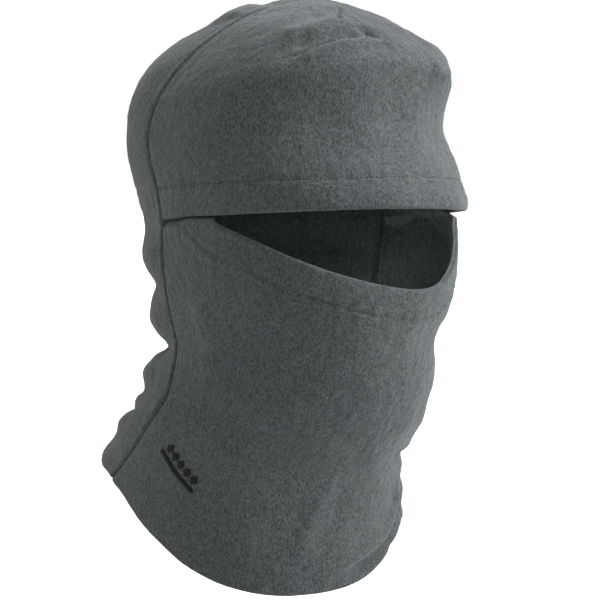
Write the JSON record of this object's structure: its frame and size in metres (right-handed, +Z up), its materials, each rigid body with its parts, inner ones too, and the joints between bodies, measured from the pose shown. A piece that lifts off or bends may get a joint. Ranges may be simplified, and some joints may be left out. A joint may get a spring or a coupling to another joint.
{
  "type": "balaclava",
  "caption": "Fleece balaclava with a hooded crown, doubled brim, pull-down face mask and a long rounded bib that covers the neck.",
  "frame": {"origin": "centre of the wearer's head on the ear line, at the height of the brim's lower edge", "axes": "+Z up, the wearer faces -Y, the wearer's left is +X"},
  "size_m": [0.1825, 0.2553, 0.3534],
  "materials": {
    "fleece": "short napped pile, matt, slightly cool dark grey",
    "sewing_thread": "twisted polyester thread, tone on tone",
    "overlock_thread": "textured overlock yarn",
    "label_ribbon": "satin ribbon, blank",
    "embroidery_thread": "shiny satin-stitch embroidery thread"
  },
  "bodies": {
    "root": {"back_panel_left": "fleece", "back_panel_right": "fleece", "front_crown_panel": "fleece", "forehead_panel": "fleece", "mask_panel": "fleece", "bib_panel": "fleece", "side_seam_allowance_left": "fleece", "side_seam_allowance_right": "fleece", "centre_back_seam_allowance": "fleece", "front_dart_allowance": "fleece", "side_seam_overlock_left": "overlock_thread", "side_seam_overlock_right": "overlock_thread", "centre_back_overlock": "overlock_thread", "crown_bartack": "sewing_thread", "bib_embroidery": "embroidery_thread"},
    "brim": {"brim_hem": "fleece", "brim_topstitch": "sewing_thread"},
    "mask_edge": {"mask_hem": "fleece", "mask_topstitch": "sewing_thread"},
    "label": {"care_label": "label_ribbon", "care_label_stitches": "sewing_thread"}
  },
  "joints": [
    {"name": "mask_pull_down", "type": "hinge", "parent": "root", "child": "mask_edge", "pos_m": [0, 0.017, 0.007], "axis": [1, 0, 0], "range_deg": [0, 25], "deforming": ["mask_panel"]},
    {"name": "brim_lift", "type": "hinge", "parent": "root", "child": "brim", "pos_m": [0, 0.017, 0.017], "axis": [-1, 0, 0], "range_deg": [0, 15], "deforming": ["forehead_panel"]},
    {"name": "care_label_flip", "type": "hinge", "parent": "root", "child": "label", "pos_m": [0, 0.1057, -0.112], "axis": [-1, 0, 0], "range_deg": [-8, 70]}
  ]
}
